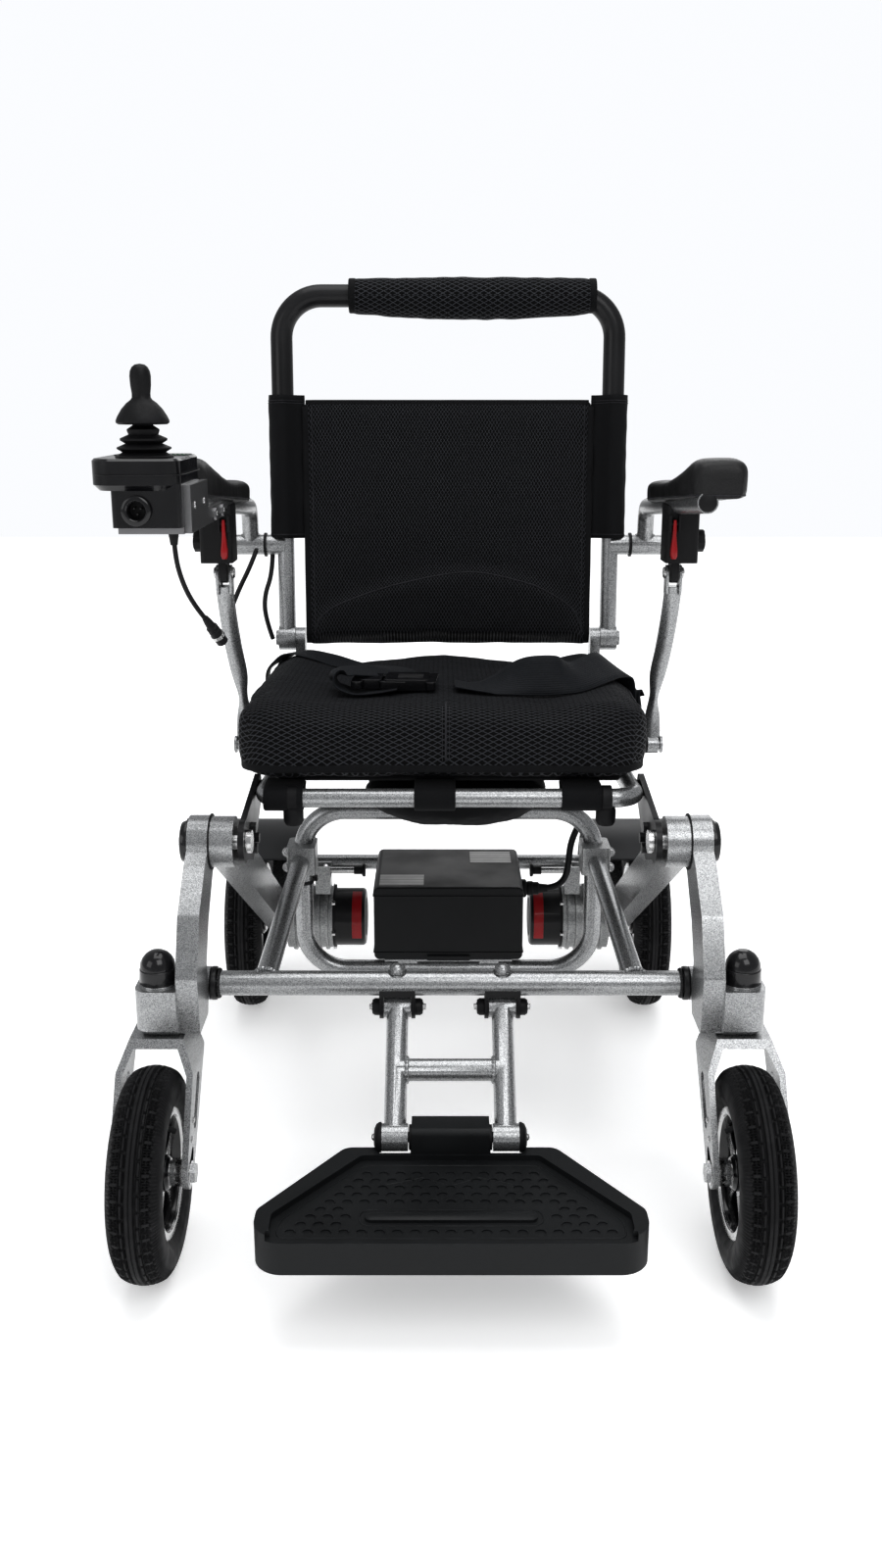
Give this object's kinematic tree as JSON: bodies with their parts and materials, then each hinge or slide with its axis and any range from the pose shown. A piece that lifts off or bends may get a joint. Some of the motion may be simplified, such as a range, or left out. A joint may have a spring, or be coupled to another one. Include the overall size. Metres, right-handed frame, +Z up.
{
  "type": "power wheelchair",
  "caption": "Folding power wheelchair: joystick on the right armrest, hub-side drive motors, swivel front casters, padded mesh seat, push hoop and flip-up footplate.",
  "frame": {"origin": "on the floor, under the centre of the bounding box; X = 0 is the chair's median plane", "axes": "+Z up from the floor, +X towards the sitter's left, +Y rearwards (the sitter faces -Y)"},
  "size_m": [0.649, 0.862, 0.959],
  "materials": {
    "silver_frame": "metallic silver powder coat with a fine flake",
    "cast_alloy": "as-cast alloy",
    "bright_steel": "zinc-plated",
    "black_paint": "satin black",
    "black_nylon": "moulded, fine grain",
    "gloss_black": "gloss",
    "battery_black": "satin moulded case",
    "footplate_black": "satin moulded, treaded",
    "guard_grey": "satin",
    "red_plastic": "moulded",
    "tyre_rubber": "matt tread rubber",
    "soft_rubber": "matt",
    "cable_black": "matt jacket",
    "air_mesh": "three-dimensional air mesh, diamond pattern",
    "webbing": "woven polyester webbing",
    "pad_leather": "skinned polyurethane foam"
  },
  "bodies": {
    "frame": {"front_legs": "silver_frame", "caster_housings": "silver_frame", "caster_caps": "gloss_black", "lower_frame": "silver_frame", "battery_hoop": "silver_frame", "hoop_clamps": "black_nylon", "pivot_pins": "bright_steel", "battery": "battery_black", "battery_lead": "cable_black", "legrest_clevises": "black_nylon"},
    "rear_frame": {"rear_legs": "silver_frame", "gearboxes": "cast_alloy", "motors": "black_paint", "mudguards": "guard_grey"},
    "seat": {"seat_frame": "silver_frame", "seat_brackets": "silver_frame", "seat_cushion": "air_mesh", "seat_sling": "air_mesh", "lap_belt": "webbing"},
    "backrest": {"back_tubes": "silver_frame", "push_hoop": "black_paint", "handle_wrap": "air_mesh", "back_panel": "air_mesh", "harness_lead": "cable_black"},
    "legrest": {"legrest": "silver_frame"},
    "footplate": {"footplate_hinge": "black_nylon", "footplate": "footplate_black"},
    "joystick_gimbal": {"joystick_gimbal": "bright_steel"},
    "joystick": {"joystick": "soft_rubber"},
    "power_button": {"power_button": "gloss_black"},
    "speed_rocker": {"speed_rocker": "black_nylon"},
    "caster_left": {"caster_fork_left": "silver_frame"},
    "front_wheel_left": {"front_rim_left": "black_paint", "front_tyre_left": "tyre_rubber"},
    "rear_wheel_left": {"rear_rim_left": "black_paint", "rear_tyre_left": "tyre_rubber"},
    "freewheel_lever_left": {"freewheel_lever_left": "bright_steel"},
    "arm_left": {"arm_tube_left": "silver_frame", "arm_pad_left": "pad_leather", "latch_block_left": "black_nylon"},
    "latch_lever_left": {"latch_lever_left": "red_plastic"},
    "strut_left": {"strut_left": "silver_frame"},
    "caster_right": {"caster_fork_right": "silver_frame"},
    "front_wheel_right": {"front_rim_right": "black_paint", "front_tyre_right": "tyre_rubber"},
    "rear_wheel_right": {"rear_rim_right": "black_paint", "rear_tyre_right": "tyre_rubber"},
    "freewheel_lever_right": {"freewheel_lever_right": "bright_steel"},
    "arm_right": {"arm_tube_right": "silver_frame", "arm_pad_right": "pad_leather", "latch_block_right": "black_nylon", "controller_case": "black_nylon", "controller_bracket": "bright_steel", "charge_socket": "black_nylon", "joystick_boot": "soft_rubber", "controller_cable": "cable_black", "cable_connector": "black_nylon", "harness_branch": "cable_black"},
    "latch_lever_right": {"latch_lever_right": "red_plastic"},
    "strut_right": {"strut_right": "silver_frame"}
  },
  "joints": [
    {"name": "fold", "type": "hinge", "parent": "frame", "child": "rear_frame", "pos_m": [0, -0.13496, 0.374], "axis": [-1, 0, 0], "range_deg": [0, 45]},
    {"name": "seat_fold", "type": "hinge", "parent": "frame", "child": "seat", "pos_m": [0, -0.13496, 0.374], "axis": [1, 0, 0], "range_deg": [0, 50]},
    {"name": "back_fold", "type": "hinge", "parent": "seat", "child": "backrest", "pos_m": [0, 0.36304, 0.496], "axis": [1, 0, 0], "range_deg": [0, 65]},
    {"name": "arm_fold_left", "type": "hinge", "parent": "backrest", "child": "arm_left", "pos_m": [0.262, 0.37104, 0.619], "axis": [-1, 0, 0], "range_deg": [0, 65]},
    {"name": "strut_fold_left", "type": "hinge", "parent": "seat", "child": "strut_left", "pos_m": [0.245, 0.14704, 0.404], "axis": [1, 0, 0], "range_deg": [0, 36]},
    {"name": "caster_swivel_left", "type": "hinge", "parent": "frame", "child": "caster_left", "pos_m": [0.2825, -0.22696, 0.233], "axis": [0, 0, 1], "continuous": true},
    {"name": "front_wheel_spin_left", "type": "hinge", "parent": "caster_left", "child": "front_wheel_left", "pos_m": [0.2825, -0.30296, 0.1], "axis": [1, 0, 0], "continuous": true},
    {"name": "rear_wheel_spin_left", "type": "hinge", "parent": "rear_frame", "child": "rear_wheel_left", "pos_m": [0.267, 0.30504, 0.12], "axis": [1, 0, 0], "continuous": true},
    {"name": "freewheel_left", "type": "hinge", "parent": "rear_frame", "child": "freewheel_lever_left", "pos_m": [0.166, 0.29704, 0.19], "axis": [0, 1, 0], "range_deg": [0, 70]},
    {"name": "latch_release_left", "type": "hinge", "parent": "arm_left", "child": "latch_lever_left", "pos_m": [0.2485, 0.07304, 0.673], "axis": [-1, 0, 0], "range_deg": [0, 25], "stiffness_Nm_per_rad": 0.06},
    {"name": "arm_fold_right", "type": "hinge", "parent": "backrest", "child": "arm_right", "pos_m": [-0.262, 0.37104, 0.619], "axis": [-1, 0, 0], "range_deg": [0, 65]},
    {"name": "strut_fold_right", "type": "hinge", "parent": "seat", "child": "strut_right", "pos_m": [-0.245, 0.14704, 0.404], "axis": [1, 0, 0], "range_deg": [0, 36]},
    {"name": "caster_swivel_right", "type": "hinge", "parent": "frame", "child": "caster_right", "pos_m": [-0.2825, -0.22696, 0.233], "axis": [0, 0, 1], "continuous": true},
    {"name": "front_wheel_spin_right", "type": "hinge", "parent": "caster_right", "child": "front_wheel_right", "pos_m": [-0.2825, -0.30296, 0.1], "axis": [1, 0, 0], "continuous": true},
    {"name": "rear_wheel_spin_right", "type": "hinge", "parent": "rear_frame", "child": "rear_wheel_right", "pos_m": [-0.267, 0.30504, 0.12], "axis": [1, 0, 0], "continuous": true},
    {"name": "freewheel_right", "type": "hinge", "parent": "rear_frame", "child": "freewheel_lever_right", "pos_m": [-0.166, 0.29704, 0.19], "axis": [0, -1, 0], "range_deg": [0, 70]},
    {"name": "latch_release_right", "type": "hinge", "parent": "arm_right", "child": "latch_lever_right", "pos_m": [-0.2485, 0.07304, 0.673], "axis": [-1, 0, 0], "range_deg": [0, 25], "stiffness_Nm_per_rad": 0.06},
    {"name": "joystick_pitch", "type": "hinge", "parent": "arm_right", "child": "joystick_gimbal", "pos_m": [-0.28, -0.16796, 0.744], "axis": [1, 0, 0], "range_deg": [-18, 18], "stiffness_Nm_per_rad": 0.25, "deforming": ["joystick_boot"]},
    {"name": "joystick_roll", "type": "hinge", "parent": "joystick_gimbal", "child": "joystick", "pos_m": [-0.28, -0.16796, 0.744], "axis": [0, 1, 0], "range_deg": [-18, 18], "stiffness_Nm_per_rad": 0.25, "deforming": ["joystick_boot"]},
    {"name": "power_press", "type": "slide", "parent": "arm_right", "child": "power_button", "axis": [0, 0, -1], "range_m": [0, 0.001], "stiffness_N_per_m": 400},
    {"name": "speed_rock", "type": "hinge", "parent": "arm_right", "child": "speed_rocker", "pos_m": [-0.282, -0.11696, 0.75], "axis": [0, 1, 0], "range_deg": [-5, 5], "stiffness_Nm_per_rad": 0.05},
    {"name": "legrest_swing", "type": "hinge", "parent": "frame", "child": "legrest", "pos_m": [0, -0.17496, 0.211], "axis": [-1, 0, 0], "range_deg": [0, 50]},
    {"name": "footplate_flip", "type": "hinge", "parent": "legrest", "child": "footplate", "pos_m": [0, -0.28296, 0.126], "axis": [-1, 0, 0], "range_deg": [0, 85]}
  ],
  "couplings": [
    {"joint": "seat_fold", "follows": "fold", "ratio": 1.1111},
    {"joint": "back_fold", "follows": "fold", "ratio": 1.4444},
    {"joint": "arm_fold_left", "follows": "fold", "ratio": 1.4444},
    {"joint": "strut_fold_left", "follows": "fold", "ratio": 0.8},
    {"joint": "arm_fold_right", "follows": "fold", "ratio": 1.4444},
    {"joint": "strut_fold_right", "follows": "fold", "ratio": 0.8}
  ]
}
